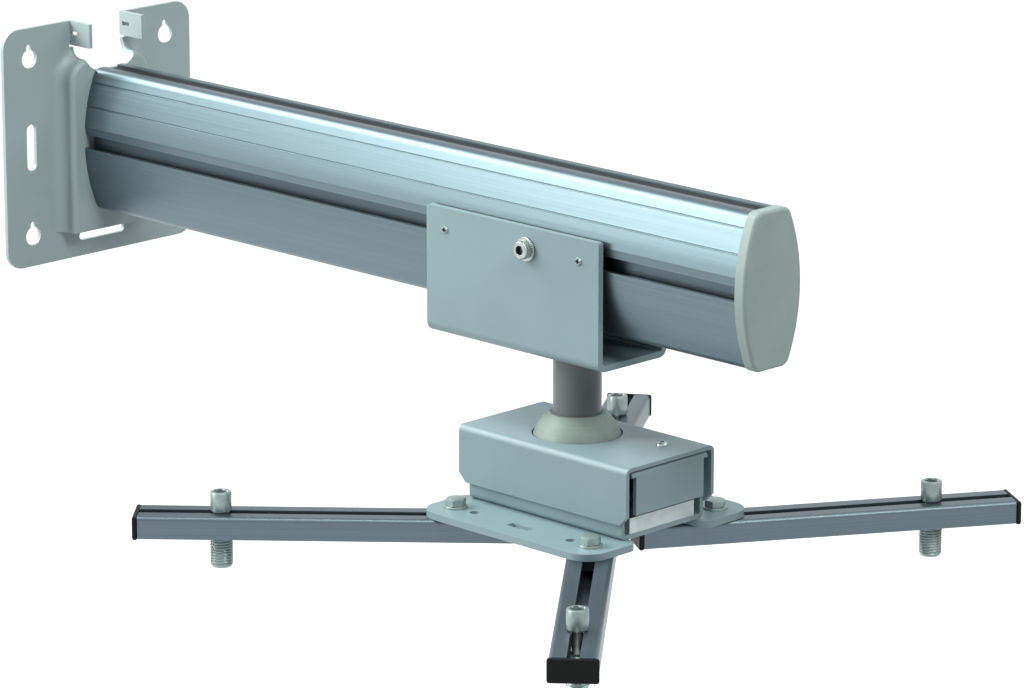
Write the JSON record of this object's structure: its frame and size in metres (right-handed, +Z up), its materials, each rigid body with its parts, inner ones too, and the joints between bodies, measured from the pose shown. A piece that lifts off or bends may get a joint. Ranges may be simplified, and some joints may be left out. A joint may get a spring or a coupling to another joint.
{
  "type": "projector wall mount",
  "caption": "Wall-hung projector mount: bracket, slotted aluminium boom, sliding carriage, ball-jointed head and spread slotted arms with threaded feet.",
  "frame": {"origin": "centre of the wall plate's back face, on the wall", "axes": "+X out of the wall along the boom, +Z up, and +Y across the wall so that the frame is right-handed"},
  "size_m": [0.7345, 0.5023, 0.3189],
  "materials": {
    "bracket_paint": "satin powder coat",
    "head_paint": "satin powder coat",
    "anodised_boom": "satin anodised",
    "anodised_arm": "satin anodised",
    "cap_plastic": "matte",
    "black_plastic": "matte",
    "zinc_steel": "zinc plated",
    "bright_steel": "bright",
    "dark_steel": "dark",
    "post_steel": "dark grey",
    "nickel_ball": "satin nickel",
    "cast_aluminium": "as cast"
  },
  "bodies": {
    "wall_frame": {"wall_bracket": "bracket_paint", "boom": "anodised_boom", "boom_end_cap": "cap_plastic", "cable_cover_strip": "black_plastic", "boom_screws": "zinc_steel"},
    "carriage": {"carriage_bracket": "head_paint", "clamp_screws": "bright_steel", "clamp_washers": "bright_steel", "slot_nuts": "zinc_steel", "guide_pads": "black_plastic", "guide_screws": "dark_steel"},
    "post": {"post_washer": "zinc_steel", "post_bolt": "zinc_steel", "post_plug": "zinc_steel", "post_tube": "post_steel", "post_ball": "nickel_ball"},
    "tilt_liner": {"ball_liner": "black_plastic"},
    "head": {"housing_shell": "head_paint", "inner_frame": "head_paint", "head_channel": "head_paint", "socket_cup": "cast_aluminium", "clamp_bolts": "zinc_steel", "clamp_nuts": "zinc_steel", "top_screw": "bright_steel", "spider_plate": "head_paint"},
    "left_pivot": {"left_pivot_bolt": "zinc_steel", "left_pivot_washer": "zinc_steel", "left_slide_nut": "dark_steel"},
    "left_arm_body": {"left_arm": "anodised_arm", "left_arm_caps": "black_plastic"},
    "left_foot_body": {"left_foot_nut": "zinc_steel", "left_foot_spacer": "zinc_steel"},
    "front_pivot": {"front_pivot_bolt": "zinc_steel", "front_pivot_washer": "zinc_steel", "front_slide_nut": "dark_steel"},
    "front_arm_body": {"front_arm": "anodised_arm", "front_arm_caps": "black_plastic"},
    "front_foot_body": {"front_foot_nut": "zinc_steel", "front_foot_spacer": "zinc_steel"},
    "right_pivot": {"right_pivot_bolt": "zinc_steel", "right_pivot_washer": "zinc_steel", "right_slide_nut": "dark_steel"},
    "right_arm_body": {"right_arm": "anodised_arm", "right_arm_caps": "black_plastic"},
    "right_foot_body": {"right_foot_nut": "zinc_steel", "right_foot_spacer": "zinc_steel"},
    "back_pivot": {"back_pivot_bolt": "zinc_steel", "back_pivot_washer": "zinc_steel", "back_slide_nut": "dark_steel"},
    "back_arm_body": {"back_arm": "anodised_arm", "back_arm_caps": "black_plastic"},
    "back_foot_body": {"back_foot_nut": "zinc_steel", "back_foot_spacer": "zinc_steel"}
  },
  "joints": [
    {"name": "carriage_slide", "type": "slide", "parent": "wall_frame", "child": "carriage", "axis": [1, 0, 0], "range_m": [-0.3, 0.11]},
    {"name": "post_turn", "type": "hinge", "parent": "carriage", "child": "post", "pos_m": [0.501, 0, -0.1423], "axis": [0, 0, 1], "continuous": true},
    {"name": "head_pitch", "type": "hinge", "parent": "post", "child": "tilt_liner", "pos_m": [0.501, 0, -0.1423], "axis": [0, 1, 0], "range_deg": [-12, 12]},
    {"name": "head_roll", "type": "hinge", "parent": "tilt_liner", "child": "head", "pos_m": [0.501, 0, -0.1423], "axis": [1, 0, 0], "range_deg": [-12, 12]},
    {"name": "left_arm_swing", "type": "hinge", "parent": "head", "child": "left_pivot", "pos_m": [0.4445, -0.062, -0.18965], "axis": [0, 0, 1], "range_deg": [-25, 25]},
    {"name": "left_arm_reach", "type": "slide", "parent": "left_pivot", "child": "left_arm_body", "axis": [-0.7373, -0.6756, 0], "range_m": [-0.008, 0.02]},
    {"name": "left_foot_slide", "type": "slide", "parent": "left_arm_body", "child": "left_foot_body", "axis": [-0.7373, -0.6756, 0], "range_m": [-0.085, 0.02]},
    {"name": "front_arm_swing", "type": "hinge", "parent": "head", "child": "front_pivot", "pos_m": [0.5735, -0.062, -0.18965], "axis": [0, 0, 1], "range_deg": [-25, 25]},
    {"name": "front_arm_reach", "type": "slide", "parent": "front_pivot", "child": "front_arm_body", "axis": [0.6587, -0.7524, 0], "range_m": [-0.008, 0.02]},
    {"name": "front_foot_slide", "type": "slide", "parent": "front_arm_body", "child": "front_foot_body", "axis": [0.6587, -0.7524, 0], "range_m": [-0.085, 0.02]},
    {"name": "right_arm_swing", "type": "hinge", "parent": "head", "child": "right_pivot", "pos_m": [0.5735, 0.062, -0.18965], "axis": [0, 0, 1], "range_deg": [-25, 25]},
    {"name": "right_arm_reach", "type": "slide", "parent": "right_pivot", "child": "right_arm_body", "axis": [0.5299, 0.848, 0], "range_m": [-0.008, 0.02]},
    {"name": "right_foot_slide", "type": "slide", "parent": "right_arm_body", "child": "right_foot_body", "axis": [0.5299, 0.848, 0], "range_m": [-0.085, 0.02]},
    {"name": "back_arm_swing", "type": "hinge", "parent": "head", "child": "back_pivot", "pos_m": [0.4445, 0.062, -0.18965], "axis": [0, 0, 1], "range_deg": [-25, 25]},
    {"name": "back_arm_reach", "type": "slide", "parent": "back_pivot", "child": "back_arm_body", "axis": [-0.5721, 0.8202, 0], "range_m": [-0.008, 0.02]},
    {"name": "back_foot_slide", "type": "slide", "parent": "back_arm_body", "child": "back_foot_body", "axis": [-0.5721, 0.8202, 0], "range_m": [-0.085, 0.02]}
  ]
}
